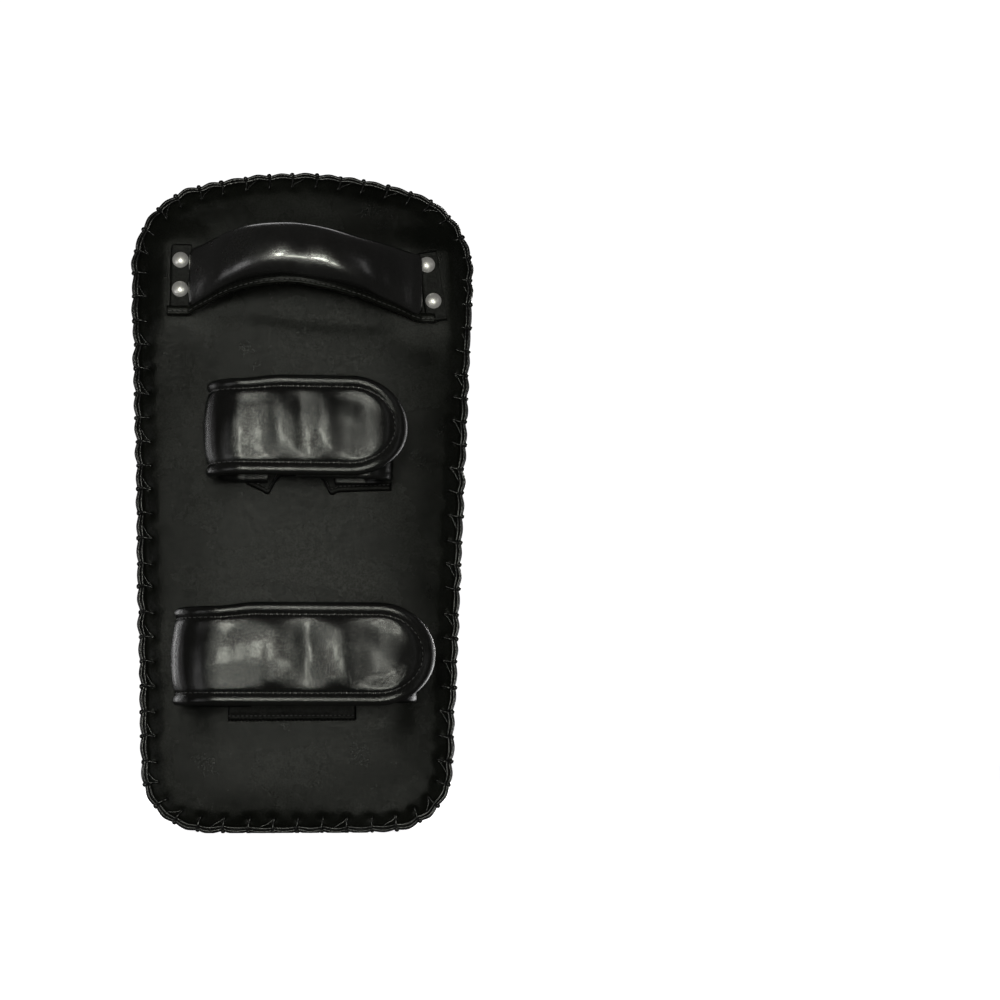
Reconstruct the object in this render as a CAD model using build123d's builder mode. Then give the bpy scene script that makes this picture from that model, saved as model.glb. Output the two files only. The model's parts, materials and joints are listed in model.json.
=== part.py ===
from build123d import *
from math import acos, asin, atan2, cos, degrees, radians, sin, sqrt
import os

os.makedirs("parts", exist_ok=True)

# Thai pad: a thick foam forearm shield for kick and punch training. All sizes are in mm.
#
# The pad stands on its lower end. +Z runs up its length, the strike face looks along -Y, and the back,
# with its grip handle and its two forearm straps, looks along +Y. X is the width.
#
# A foam block on a stiff backing board is held in a leather case: a strike panel and a gusset sewn
# together round the front, closed by a back panel that is laced to the gusset. The handle is riveted
# through the back panel and the board. Each strap is a long padded tongue and a short flap on sewn legs,
# closed over the forearm by hook and loop.

# ---------------------------------------------------------------- the case
PAD_LENGTH = 400.0
TOP_ARCH_R = 230.0            # the top edge is one long arc
TOP_HALF_WIDTH = 104.8        # half width where the side would meet the top arch
TOP_CORNER_R = 52.0
BOTTOM_HALF_FLAT = 32.0       # the pad stands on this flat
BOTTOM_ARCH_R = 230.0         # beside the flat, the bottom edge rises on this arc
BOTTOM_HALF_WIDTH = 90.5      # half width where that arc would meet the side
BOTTOM_CORNER_R = 36.0

CASE_DEPTH = 78.0             # back panel to front seam
CROWN = 22.0                  # front seam to the front of the strike face
CROWN_EDGE_R = 19.0           # rounded shoulder of the strike panel
SHOULDER_STEPS = 5
QUARTER = 90.0                # degrees in the shoulder's turn, and in half of a strap's fold
SEAM_INSET = 4.0              # the case is narrower at the front seam than at its fullest
BACK_INSET = 5.0              # and at the laced edge
FULL_FROM_BACK = 15.0         # the gusset is at its fullest between these depths below the back
FULL_TO_BACK = 62.0

LEATHER = 1.8
BACK_LEATHER = 2.0
BOARD = 2.5
GAP = 0.1                     # air between pieces that only lie against each other
INNER_INSET = 12.0            # board and rear foam stay inside the lacing by this
REAR_FOAM = 10.0

# ---------------------------------------------------------------- seam and lacing
SEAM_THREAD = 0.8
SEAM_THREAD_DEPTH = 3.0       # the topstitch runs this far behind the seam
LACE_PITCH = 14.2
LACE_R = 0.9                  # radius of the looping cord
LACE_LOOP_R = 6.6             # centreline radius of one loop round the laced edge
LACE_LOOP_IN = 3.0            # the loop's centre is this far inside the edge, both ways
LACE_HOLE_R = 1.3
STRAND_R = 0.6                # the cord that runs along the edge, under the loops
STRAND_OFF = 0.48             # its centre, outside the edge both ways

# ---------------------------------------------------------------- straps
STRAP_HEIGHT = 59.0
LEG_THICK = 6.0
SKIN, PADDING, LINING = 1.6, 3.2, 1.2     # the tongue, from the outside in
BINDING_WIDE = 6.0
BINDING_PROUD = 0.4
FLAP_SKIN, FLAP_PADDING = 1.6, 3.0
FLAP_HEIGHT = 50.0
PATCH = 1.0                   # hook patch, loop patch
PATCH_MARGIN = 9.0            # patches stay this far inside the strap's edges
STRAP_GAP = 0.3               # between hook and loop, and between a strap and its leg
BASE_THICK = 2.0              # leather strip that the legs are sewn to
BASE_HEIGHT = 50.0
BASE_DROP = 11.0              # the strip sits lower than the strap
TONGUE_WRAP = 70.0            # angle by which the tongue follows the flap round
TONGUE_ROUND = 34.0           # length of its rounded end
STITCH_LONG, STITCH_R = 3.2, 0.5
STITCH_PITCH = 5.0
LEG_STITCH_IN = 5.0           # the seam's distance from the leg's end

#                middle height, outer reach, left and right turn, legs' ends, tip of the flap
STRAPS = {
    "upper": dict(z=236.4, out=46.0, left=33.4, right=-40.3, leg=20.0, tip=5.0),
    "lower": dict(z=103.2, out=55.0, left=45.3, right=-52.5, leg=28.0, tip=11.0),
}

# ---------------------------------------------------------------- handle
HANDLE_Z = 334.2              # height of the line about which the grip swings
HANDLE_TILT = 15.0            # the grip leans up from square by this angle
HANDLE_PIVOT = 3.0            # height of that line above the back panel
GRIP_REACH = 32.0             # grip centreline above the swing line
GRIP_END_REACH = 16.5
GRIP_HALF = 57.0              # half length of the grip
GRIP_WIDE, GRIP_DEEP = 17.0, 11.5         # half axes of the sleeve's section
SLEEVE = 1.6
WEB_WIDE, WEB_THICK = 11.0, 3.0
WEB_HALF, WEB_END_REACH = 65.2, 3.4
FLANGE_WIDE, FLANGE_THICK = 5.0, 3.0
FLANGE_HALF = 50.0
TAB_WIDE, TAB_TALL, TAB_THICK, TAB_CORNER_R = 13.6, 44.0, 3.0, 4.0
#                middle, lean
TABS = {"left": ((74.4, 330.4), 0.0), "right": ((-76.8, 329.0), -9.5)}
RIVETS = [(74.1, 342.1), (74.1, 324.2), (-74.7, 342.4), (-78.7, 320.1)]
CAP_R, CAP_H, POST_R, BURR_R, BURR_H = 4.8, 2.2, 1.6, 4.2, 1.0

# ---------------------------------------------------------------- worked out from those
STRAP_OUT = max(strap["out"] for strap in STRAPS.values()) + BINDING_PROUD
BACK_Y = (CASE_DEPTH + CROWN - STRAP_OUT) / 2       # the origin is midway between front and back
SEAM_Y = BACK_Y - CASE_DEPTH
BOARD_BACK = BACK_Y - BACK_LEATHER - GAP
BOARD_FRONT = BOARD_BACK - BOARD
REAR_FOAM_FRONT = BOARD_FRONT - GAP - REAR_FOAM
TONGUE = SKIN + PADDING + LINING
FLAP = FLAP_SKIN + FLAP_PADDING


def at_y(y):
    """The X-Z plane at this depth; its normal looks along -Y."""
    return Plane.XZ.offset(-y)


def write(part, name):
    part.label = name
    export_step(part, f"parts/{name}.step")


# ================================================================ the case
def pad_outline(y, inset):
    """The case's outline at one depth: arched top, straight tapering sides, nearly flat bottom."""
    top_corner = (TOP_HALF_WIDTH, PAD_LENGTH - TOP_ARCH_R + sqrt(TOP_ARCH_R**2 - TOP_HALF_WIDTH**2))
    foot_turn = degrees(asin((BOTTOM_HALF_WIDTH - BOTTOM_HALF_FLAT) / BOTTOM_ARCH_R))
    with BuildSketch(at_y(y)) as outline:
        with BuildLine():
            flat = Line((-BOTTOM_HALF_FLAT, 0), (BOTTOM_HALF_FLAT, 0))
            left_foot = JernArc(flat @ 0, (-1, 0), BOTTOM_ARCH_R, -foot_turn)
            right_foot = JernArc(flat @ 1, (1, 0), BOTTOM_ARCH_R, foot_turn)
            Line(right_foot @ 1, top_corner)
            ThreePointArc(top_corner, (0, PAD_LENGTH), (-top_corner[0], top_corner[1]))
            Line((-top_corner[0], top_corner[1]), left_foot @ 1)
        make_face()
        ends = outline.vertices().group_by(Axis.Y)
        fillet(ends[-1], TOP_CORNER_R)
        fillet(outline.vertices().filter_by_position(Axis.Y, 1, PAD_LENGTH / 4), BOTTOM_CORNER_R)
        if inset:
            offset(amount=-inset, kind=Kind.INTERSECTION, mode=Mode.REPLACE)
    return outline.sketch


def case_block(levels):
    """A solid through the case's outline at several (depth, inset) levels."""
    with BuildPart(mode=Mode.PRIVATE) as block:
        for y, inset in levels:
            add(pad_outline(y, inset))
        loft(ruled=True)
    return block.part


def crown_block(y, inset, height, shoulder):
    """A slab in front of y with a rounded front shoulder, drawn in short bands."""
    levels = [(y, inset)]
    for step in range(SHOULDER_STEPS + 1):
        turn = radians(QUARTER * step / SHOULDER_STEPS)
        levels.append((y - height + shoulder * (1 - sin(turn)), inset + shoulder * (1 - cos(turn))))
    return case_block(levels)


gusset_back = BACK_Y - BACK_LEATHER - GAP
full_from, full_to = BACK_Y - FULL_FROM_BACK, BACK_Y - FULL_TO_BACK
gusset_levels = [(SEAM_Y, SEAM_INSET), (full_to, 0), (full_from, 0), (gusset_back, BACK_INSET)]

# one plane per lacing hole: origin on the laced edge, x outwards, z along the edge
edge = pad_outline(BACK_Y, BACK_INSET).face().outer_wire()
lace_count = round(edge.length / LACE_PITCH)
lace_planes = []
for index in range(lace_count):
    point = edge.position_at(index / lace_count)
    along = edge.tangent_at(index / lace_count)
    outward = along.cross(Vector(0, 1, 0))
    if outward.dot(point - Vector(0, point.Y, PAD_LENGTH / 2)) < 0:
        along, outward = -along, -outward
    centre = point - (outward + Vector(0, 1, 0)) * LACE_LOOP_IN
    lace_planes.append(Plane(origin=centre, x_dir=outward, z_dir=outward.cross(Vector(0, 1, 0))))


def lace_drills(angle):
    """Places round the loops' centreline, facing along the cord."""
    places = []
    for plane in lace_planes:
        turn = radians(angle)
        reach = plane.x_dir * cos(turn) + Vector(0, 1, 0) * sin(turn)
        run = plane.x_dir * -sin(turn) + Vector(0, 1, 0) * cos(turn)
        places.append(Plane(origin=plane.origin + reach * LACE_LOOP_R, x_dir=plane.z_dir, z_dir=run))
    return places


# where the loop passes through the back panel and through the gusset's slanting end
panel_angle = 180 - degrees(asin((LACE_LOOP_IN - BACK_LEATHER / 2) / LACE_LOOP_R))
slant = degrees(atan2(BACK_INSET, FULL_FROM_BACK - BACK_LEATHER))
gusset_angle = slant - degrees(acos((LACE_LOOP_IN - LEATHER / 2) / LACE_LOOP_R * cos(radians(slant))
                                    + LACE_LOOP_IN / LACE_LOOP_R * sin(radians(slant))))

with BuildPart() as side_gusset:
    add(case_block(gusset_levels))
    add(case_block([(y, inset + LEATHER) for y, inset in gusset_levels]), mode=Mode.SUBTRACT)
    with Locations(*lace_drills(gusset_angle)):
        Cylinder(LACE_HOLE_R, 3 * LEATHER, mode=Mode.SUBTRACT)
write(side_gusset.part, "side_gusset")

with BuildPart() as back_panel:
    extrude(pad_outline(BACK_Y, BACK_INSET), amount=BACK_LEATHER)
    with Locations(*lace_drills(panel_angle)):
        Cylinder(LACE_HOLE_R, 3 * BACK_LEATHER, mode=Mode.SUBTRACT)
    with BuildSketch(at_y(BACK_Y)):
        with Locations(RIVETS):
            Circle(POST_R)
    extrude(amount=BACK_LEATHER, mode=Mode.SUBTRACT)
write(back_panel.part, "back_panel")

with BuildPart() as strike_panel:
    add(crown_block(SEAM_Y - GAP, SEAM_INSET, CROWN - GAP, CROWN_EDGE_R))
    hollow = crown_block(SEAM_Y, SEAM_INSET + LEATHER, CROWN - LEATHER, CROWN_EDGE_R - LEATHER)
    add(hollow, mode=Mode.SUBTRACT)
write(strike_panel.part, "strike_panel")

with BuildPart() as seam_thread:
    thread_inset = SEAM_INSET * (1 - SEAM_THREAD_DEPTH / (CASE_DEPTH - FULL_TO_BACK))
    thread_outline = pad_outline(SEAM_Y + SEAM_THREAD_DEPTH + SEAM_THREAD, thread_inset - SEAM_THREAD)
    extrude(thread_outline, amount=SEAM_THREAD)
    add(case_block(gusset_levels), mode=Mode.SUBTRACT)
write(seam_thread.part, "seam_thread")

with BuildPart() as lace_loops:
    with Locations(*lace_planes):
        Torus(LACE_LOOP_R, LACE_R)
write(lace_loops.part, "lace_loops")

with BuildPart() as lace_strands:
    strand_path = pad_outline(BACK_Y + STRAND_OFF, BACK_INSET - STRAND_OFF).face().outer_wire()
    with BuildSketch(Plane(origin=strand_path @ 0, z_dir=strand_path % 0)):
        Circle(STRAND_R)
    sweep(path=strand_path)
write(lace_strands.part, "lace_strands")

# ================================================================ what the case holds
with BuildPart() as backing_board:
    extrude(pad_outline(BOARD_BACK, BACK_INSET + INNER_INSET), amount=BOARD)
    with BuildSketch(at_y(BOARD_BACK)):
        with Locations(RIVETS):
            Circle(POST_R)
    extrude(amount=BOARD, mode=Mode.SUBTRACT)
write(backing_board.part, "backing_board")

with BuildPart() as foam_back_layer:
    extrude(pad_outline(BOARD_FRONT - GAP, BACK_INSET + INNER_INSET), amount=REAR_FOAM)
    with BuildSketch(at_y(BOARD_FRONT - GAP)):
        with Locations(RIVETS):
            Circle(BURR_R + GAP)
    extrude(amount=2 * BURR_H, mode=Mode.SUBTRACT)
write(foam_back_layer.part, "foam_back_layer")

with BuildPart() as foam_core:
    core_inset = LEATHER + GAP
    add(case_block([(SEAM_Y + GAP, SEAM_INSET + core_inset), (full_to, core_inset),
                    (REAR_FOAM_FRONT - GAP, core_inset)]))
write(foam_core.part, "foam_core")

with BuildPart() as foam_face_layer:
    add(crown_block(SEAM_Y, SEAM_INSET + core_inset, CROWN - core_inset, CROWN_EDGE_R - core_inset))
write(foam_face_layer.part, "foam_face_layer")


# ================================================================ straps
class Strap:
    """Heights above the back panel, radii and layers of one strap, looking down its length."""

    def __init__(self, z, out, left, right, leg, tip):
        self.z, self.left, self.right, self.leg, self.tip = z, left, right, leg, tip
        self.lining_in = out - TONGUE                       # the tongue's inner face
        self.flap_out = self.lining_in - 2 * PATCH - STRAP_GAP
        self.leg_low = BASE_THICK
        self.leg_high = BASE_THICK + LEG_THICK
        self.left_mid = (out + self.leg_low) / 2            # height of the left fold
        self.left_r = out - self.left_mid                   # outer radius there
        self.right_mid = (self.flap_out + self.leg_low) / 2
        self.right_r = self.flap_out - self.right_mid
        self.wrap_r = out - self.right_mid                  # the tongue's outer radius over the flap


def left_turn(strap, depth, thick, start, size):
    """Section of a band round the left fold, its outer face this deep in the strap."""
    centre = (strap.left, BACK_Y + strap.left_mid)
    turn_section(centre, strap.left_r - depth, thick, start, size)


def right_turn(strap, radius, thick, start, size):
    centre = (strap.right, BACK_Y + strap.right_mid)
    turn_section(centre, radius, thick, start, size)


def turn_section(centre, radius, thick, start, size):
    with BuildLine(mode=Mode.PRIVATE) as section:
        outer = CenterArc(centre, radius, start, size)
        inner = CenterArc(centre, radius - thick, start, size)
        Line(outer @ 0, inner @ 0)
        Line(outer @ 1, inner @ 1)
    make_face(section.edges())


def level_section(x_from, x_to, low, thick):
    """Section of a band lying along X, this high above the back panel."""
    with Locations(((x_from + x_to) / 2, BACK_Y + low + thick / 2)):
        Rectangle(abs(x_to - x_from), thick)


def tongue_layer(strap, depth, thick, height):
    """One layer of the tongue: half the left fold, the level run and the wrap round the flap."""
    reach = strap.lining_in + TONGUE - depth
    gap_turn = degrees(STRAP_GAP / strap.left_r)
    with BuildPart(mode=Mode.PRIVATE) as layer:
        with BuildSketch(Plane.XY.offset(strap.z - height / 2)):
            left_turn(strap, depth, thick, gap_turn, 90 - gap_turn)
            level_section(strap.right, strap.left, reach - thick, thick)
            right_turn(strap, strap.wrap_r - depth, thick, 90, TONGUE_WRAP)
        extrude(amount=height)
    return layer.part


def tongue_outline(strap, margin):
    """The tongue seen from behind, this far inside its edge: straight sides and one rounded end."""
    end = strap.right - strap.wrap_r * sin(radians(TONGUE_WRAP))
    half = STRAP_HEIGHT / 2 - margin
    far = strap.left + strap.left_r + TONGUE
    with BuildPart(mode=Mode.PRIVATE) as outline:
        with BuildSketch(at_y(BACK_Y + strap.lining_in + 2 * TONGUE)):
            with BuildLine():
                start = end + TONGUE_ROUND
                Polyline((start, strap.z + half), (far, strap.z + half), (far, strap.z - half),
                         (start, strap.z - half))
                EllipticalCenterArc((start, strap.z), TONGUE_ROUND - margin, half,
                                    start_angle=QUARTER, arc_size=2 * QUARTER)
            make_face()
        extrude(amount=2 * strap.wrap_r)
    return outline.part


def leg(strap, turn, start, size, end, radius, thick, height):
    """A band from its sewn end along the back panel and half way round the fold."""
    with BuildPart(mode=Mode.PRIVATE) as band:
        with BuildSketch(Plane.XY.offset(strap.z - height / 2)):
            level_section(end, turn[0], strap.leg_low, thick)
            turn_section(turn, radius, thick, start, size)
        extrude(amount=height)
    return band.part


for name, sizes in STRAPS.items():
    strap = Strap(**sizes)
    left_fold = (strap.left, BACK_Y + strap.left_mid)
    right_fold = (strap.right, BACK_Y + strap.right_mid)

    with BuildPart() as base_strip:
        with BuildSketch(at_y(BACK_Y + BASE_THICK)):
            with Locations(((strap.left + strap.right) / 2, strap.z - BASE_DROP)):
                Rectangle(strap.left - strap.right, BASE_HEIGHT)
        extrude(amount=BASE_THICK)
    write(base_strip.part, f"{name}_base_strip")

    with BuildPart() as tongue_leg:
        add(leg(strap, left_fold, -90, 90, strap.leg, strap.left_r, LEG_THICK, STRAP_HEIGHT))
    write(tongue_leg.part, f"{name}_tongue_leg")

    with BuildPart() as flap_leg:
        add(leg(strap, right_fold, 180, 90, -strap.leg, strap.right_r, FLAP, FLAP_HEIGHT))
    write(flap_leg.part, f"{name}_flap_leg")

    with BuildPart() as leg_stitches:
        for end, top, height in ((strap.leg, LEG_THICK, STRAP_HEIGHT), (-strap.leg, FLAP, FLAP_HEIGHT)):
            seam_x = end + (LEG_STITCH_IN if end > 0 else -LEG_STITCH_IN)
            rows = int((height - 2 * STITCH_PITCH) / STITCH_PITCH)
            with BuildSketch(at_y(BACK_Y + BASE_THICK + top + STITCH_R)):
                with Locations((seam_x, strap.z)):
                    with GridLocations(0, STITCH_PITCH, 1, rows):
                        Rectangle(2 * STITCH_R, STITCH_LONG)
            extrude(amount=STITCH_R)
    write(leg_stitches.part, f"{name}_leg_stitches")

    inner_outline = tongue_outline(strap, BINDING_WIDE)
    for layer, depth, thick in (("skin", 0, SKIN), ("padding", SKIN, PADDING),
                                ("lining", SKIN + PADDING, LINING)):
        with BuildPart() as tongue_part:
            add(tongue_layer(strap, depth, thick, STRAP_HEIGHT))
            add(inner_outline, mode=Mode.INTERSECT)
        write(tongue_part.part, f"{name}_tongue_{layer}")

    with BuildPart() as tongue_binding:
        add(tongue_layer(strap, -BINDING_PROUD, TONGUE + BINDING_PROUD, STRAP_HEIGHT))
        add(tongue_outline(strap, 0), mode=Mode.INTERSECT)
        add(inner_outline, mode=Mode.SUBTRACT)
    write(tongue_binding.part, f"{name}_tongue_binding")

    patch_height = STRAP_HEIGHT - 2 * PATCH_MARGIN
    with BuildPart() as hook_patch:
        with BuildSketch(Plane.XY.offset(strap.z - patch_height / 2)):
            level_section(strap.right, strap.tip, strap.lining_in - PATCH, PATCH)
        extrude(amount=patch_height)
    write(hook_patch.part, f"{name}_hook_patch")

    with BuildPart() as loop_patch:
        with BuildSketch(Plane.XY.offset(strap.z - patch_height / 2)):
            level_section(strap.right, strap.tip - PATCH, strap.flap_out, PATCH)
        extrude(amount=patch_height)
    write(loop_patch.part, f"{name}_loop_patch")

    gap_turn = degrees(STRAP_GAP / strap.right_r)
    for layer, depth, thick in (("skin", 0, FLAP_SKIN), ("padding", FLAP_SKIN, FLAP_PADDING)):
        with BuildPart() as flap_part:
            with BuildSketch(Plane.XY.offset(strap.z - FLAP_HEIGHT / 2)):
                level_section(strap.right, strap.tip, strap.flap_out - depth - thick, thick)
                right_turn(strap, strap.right_r - depth, thick, 90, 90 - gap_turn)
            extrude(amount=FLAP_HEIGHT)
        write(flap_part.part, f"{name}_flap_{layer}")

# ================================================================ handle
swing_line = Vector(0, BACK_Y + HANDLE_PIVOT, HANDLE_Z)
tilt = radians(HANDLE_TILT)
# local x runs along the grip, local y leans away from the back panel
grip_plane = Plane(origin=swing_line, x_dir=(1, 0, 0), z_dir=(0, -sin(tilt), cos(tilt)))


def grip_path(half):
    """An arc through the grip's middle, this long to each side."""
    drop = (GRIP_REACH - GRIP_END_REACH) * (half / GRIP_HALF)**2
    with BuildLine(grip_plane, mode=Mode.PRIVATE) as path:
        ThreePointArc((-half, GRIP_REACH - drop), (0, GRIP_REACH), (half, GRIP_REACH - drop))
    return path.line


def section_plane(path):
    return Plane(origin=path @ 0, x_dir=grip_plane.z_dir, z_dir=path % 0)


grip = grip_path(GRIP_HALF)
flange_run = grip_path(FLANGE_HALF)
with BuildLine(grip_plane) as web:
    Line((-WEB_HALF, WEB_END_REACH), (-GRIP_HALF, GRIP_END_REACH))
    ThreePointArc((-GRIP_HALF, GRIP_END_REACH), (0, GRIP_REACH), (GRIP_HALF, GRIP_END_REACH))
    Line((GRIP_HALF, GRIP_END_REACH), (WEB_HALF, WEB_END_REACH))


def grip_solid(wide, deep):
    with BuildPart(mode=Mode.PRIVATE) as solid:
        with BuildSketch(section_plane(grip)):
            Ellipse(wide, deep)
        sweep(path=grip)
    return solid.part


with BuildPart() as handle_webbing:
    with BuildSketch(section_plane(web.line)):
        Rectangle(WEB_WIDE, WEB_THICK)
    sweep(path=web.line, transition=Transition.RIGHT)
write(handle_webbing.part, "handle_webbing")

with BuildPart() as handle_sleeve:
    add(grip_solid(GRIP_WIDE, GRIP_DEEP))
    add(grip_solid(GRIP_WIDE - SLEEVE, GRIP_DEEP - SLEEVE), mode=Mode.SUBTRACT)
write(handle_sleeve.part, "handle_sleeve")

with BuildPart() as handle_foam_roll:
    add(grip_solid(GRIP_WIDE - SLEEVE, GRIP_DEEP - SLEEVE))
    add(handle_webbing.part, mode=Mode.SUBTRACT)
write(handle_foam_roll.part, "handle_foam_roll")

with BuildPart() as handle_flange:
    with BuildSketch(section_plane(flange_run)):
        with Locations((-GRIP_WIDE, 0)):
            Rectangle(2 * FLANGE_WIDE, FLANGE_THICK)
    sweep(path=flange_run)
    add(grip_solid(GRIP_WIDE, GRIP_DEEP), mode=Mode.SUBTRACT)
write(handle_flange.part, "handle_flange")

for side, (middle, lean) in TABS.items():
    with BuildPart() as handle_tab:
        with BuildSketch(at_y(BACK_Y + TAB_THICK)):
            with Locations(middle):
                RectangleRounded(TAB_WIDE, TAB_TALL, TAB_CORNER_R, rotation=lean)
            with Locations(RIVETS):
                Circle(POST_R, mode=Mode.SUBTRACT)
        extrude(amount=TAB_THICK)
    write(handle_tab.part, f"handle_tab_{side}")

post_back = BACK_Y + TAB_THICK
with BuildPart() as rivet_posts:
    with BuildSketch(at_y(post_back)):
        with Locations(RIVETS):
            Circle(POST_R)
    extrude(amount=post_back - BOARD_FRONT + BURR_H)
write(rivet_posts.part, "rivet_posts")

with BuildPart() as rivet_caps:
    dome_r = (CAP_R**2 + CAP_H**2) / (2 * CAP_H)
    with Locations([(x, post_back + CAP_H - dome_r, z) for x, z in RIVETS]):
        Sphere(dome_r)
    with BuildSketch(at_y(post_back)):
        Rectangle(2 * PAD_LENGTH, 4 * PAD_LENGTH)
    extrude(amount=2 * dome_r, mode=Mode.SUBTRACT)
write(rivet_caps.part, "rivet_caps")

with BuildPart() as rivet_burrs:
    with BuildSketch(at_y(BOARD_FRONT)):
        with Locations(RIVETS):
            Circle(BURR_R)
            Circle(POST_R, mode=Mode.SUBTRACT)
    extrude(amount=BURR_H)
write(rivet_burrs.part, "rivet_burrs")
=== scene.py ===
"""Thai pad: the visual model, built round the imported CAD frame. Metres, +Z up, strike face to -Y."""
import json
import math

import bmesh
import bpy
import numpy as np
from mathutils import Matrix, Vector, noise


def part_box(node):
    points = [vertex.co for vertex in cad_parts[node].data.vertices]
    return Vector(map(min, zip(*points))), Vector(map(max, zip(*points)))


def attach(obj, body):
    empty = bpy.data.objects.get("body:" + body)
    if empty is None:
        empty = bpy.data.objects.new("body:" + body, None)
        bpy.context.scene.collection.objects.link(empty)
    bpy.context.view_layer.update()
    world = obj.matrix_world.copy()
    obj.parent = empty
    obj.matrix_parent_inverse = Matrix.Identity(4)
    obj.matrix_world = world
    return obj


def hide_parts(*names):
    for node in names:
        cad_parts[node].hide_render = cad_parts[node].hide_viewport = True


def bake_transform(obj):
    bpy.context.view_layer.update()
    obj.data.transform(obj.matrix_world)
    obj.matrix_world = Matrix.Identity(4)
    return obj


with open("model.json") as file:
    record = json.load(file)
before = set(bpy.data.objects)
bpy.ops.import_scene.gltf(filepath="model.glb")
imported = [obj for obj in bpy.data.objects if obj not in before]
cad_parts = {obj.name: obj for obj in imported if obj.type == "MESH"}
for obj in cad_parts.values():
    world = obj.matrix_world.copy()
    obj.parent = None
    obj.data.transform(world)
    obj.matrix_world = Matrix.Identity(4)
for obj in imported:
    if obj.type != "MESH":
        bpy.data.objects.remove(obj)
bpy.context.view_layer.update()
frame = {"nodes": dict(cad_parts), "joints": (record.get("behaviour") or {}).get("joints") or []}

MM = 0.001
RNG = np.random.default_rng(7)


# ================================================================ small tools
def span(node):
    """Lowest and highest corner of a CAD node, in mm, as arrays."""
    low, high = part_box(node)
    return np.array(low) / MM, np.array(high) / MM


def smooth(value, low, high):
    """0 below low, 1 above high, smooth between."""
    t = np.clip((np.asarray(value, float) - low) / (high - low), 0, 1)
    return t * t * (3 - 2 * t)


def wobble(points, size, seed):
    """Smooth noise, about -1 to 1, at points in mm, with features of this size."""
    shift = Vector((seed * 17.3, seed * 5.1, seed * 9.7))
    return np.array([noise.noise(Vector(p) / size + shift) for p in points]) * 1.6


def make(name, points, faces, material, body=None, nodes=(), merge=True):
    """A mesh piece from points in mm."""
    mesh = bpy.data.meshes.new(name)
    mesh.from_pydata((np.asarray(points, float) * MM).tolist(), [], [list(map(int, f)) for f in faces])
    work = bmesh.new()
    work.from_mesh(mesh)
    if merge:
        bmesh.ops.remove_doubles(work, verts=work.verts, dist=2e-6)
        bmesh.ops.dissolve_degenerate(work, edges=work.edges, dist=1e-7)
    bmesh.ops.recalc_face_normals(work, faces=work.faces)
    work.to_mesh(mesh)
    work.free()
    mesh.shade_smooth()
    piece = bpy.data.objects.new(name, mesh)
    bpy.context.scene.collection.objects.link(piece)
    mesh.materials.append(material)
    if body:
        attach(piece, body)
    if nodes:
        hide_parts(*nodes)
    return piece


def grid_faces(rows, cols, start=0, wrap_rows=False, wrap_cols=True):
    """Quads of a rows x cols grid of points."""
    r = np.arange(rows if wrap_rows else rows - 1)
    c = np.arange(cols if wrap_cols else cols - 1)
    i, j = np.meshgrid(r, c, indexing="ij")
    i2, j2 = (i + 1) % rows, (j + 1) % cols
    quads = np.stack([i * cols + j, i2 * cols + j, i2 * cols + j2, i * cols + j2], -1)
    return (quads.reshape(-1, 4) + start).tolist()


def solidify(piece, thick):
    """Gives a surface its leather's thickness, inwards."""
    mod = piece.modifiers.new("thickness", "SOLIDIFY")
    mod.thickness, mod.offset = thick * MM, -1
    mod.use_even_offset = False


def curve_through(points, per=6):
    """Catmull-Rom curve through points."""
    p = np.asarray(points, float)
    p = np.vstack([2 * p[0] - p[1], p, 2 * p[-1] - p[-2]])
    out = []
    for k in range(1, len(p) - 2):
        for t in np.arange(per) / per:
            out.append(0.5 * (2 * p[k] + (p[k + 1] - p[k - 1]) * t
                              + (2 * p[k - 1] - 5 * p[k] + 4 * p[k + 1] - p[k + 2]) * t**2
                              + (3 * p[k] - p[k - 1] - 3 * p[k + 1] + p[k + 2]) * t**3))
    out.append(p[-2])
    return np.array(out)


def tube(path, radius, sides=8, flat=None):
    """Points and faces of a closed tube along a path; flat is not used."""
    path = np.asarray(path, float)
    n = len(path)
    radius = np.broadcast_to(radius, n)
    tangent = np.gradient(path, axis=0)
    tangent /= np.linalg.norm(tangent, axis=1)[:, None]
    side = np.cross(tangent[0], (0.31, 0.53, 0.79))
    side /= np.linalg.norm(side)
    angles = np.arange(sides) * 2 * math.pi / sides
    rows = []
    for k in range(n):
        side = side - tangent[k] * side.dot(tangent[k])
        side /= np.linalg.norm(side)
        other = np.cross(tangent[k], side)
        rows.append(path[k] + radius[k] * (np.cos(angles)[:, None] * side + np.sin(angles)[:, None] * other))
    points = np.vstack(rows + [path[:1], path[-1:]])
    faces = grid_faces(n, sides)
    first, last = n * sides, n * sides + 1
    for k in range(sides):
        faces.append([first, (k + 1) % sides, k])
        faces.append([last, (n - 1) * sides + k, (n - 1) * sides + (k + 1) % sides])
    return points, faces


class Bag:
    """Collects many small shapes into one mesh."""

    def __init__(self):
        self.points, self.faces, self.count = [], [], 0

    def add(self, shape):
        points, faces = shape
        self.points.append(points)
        self.faces += [[v + self.count for v in f] for f in faces]
        self.count += len(points)

    def make(self, name, material, slot, body, nodes=()):
        return make(name, np.vstack(self.points), self.faces, material, body, nodes, merge=False)


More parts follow.
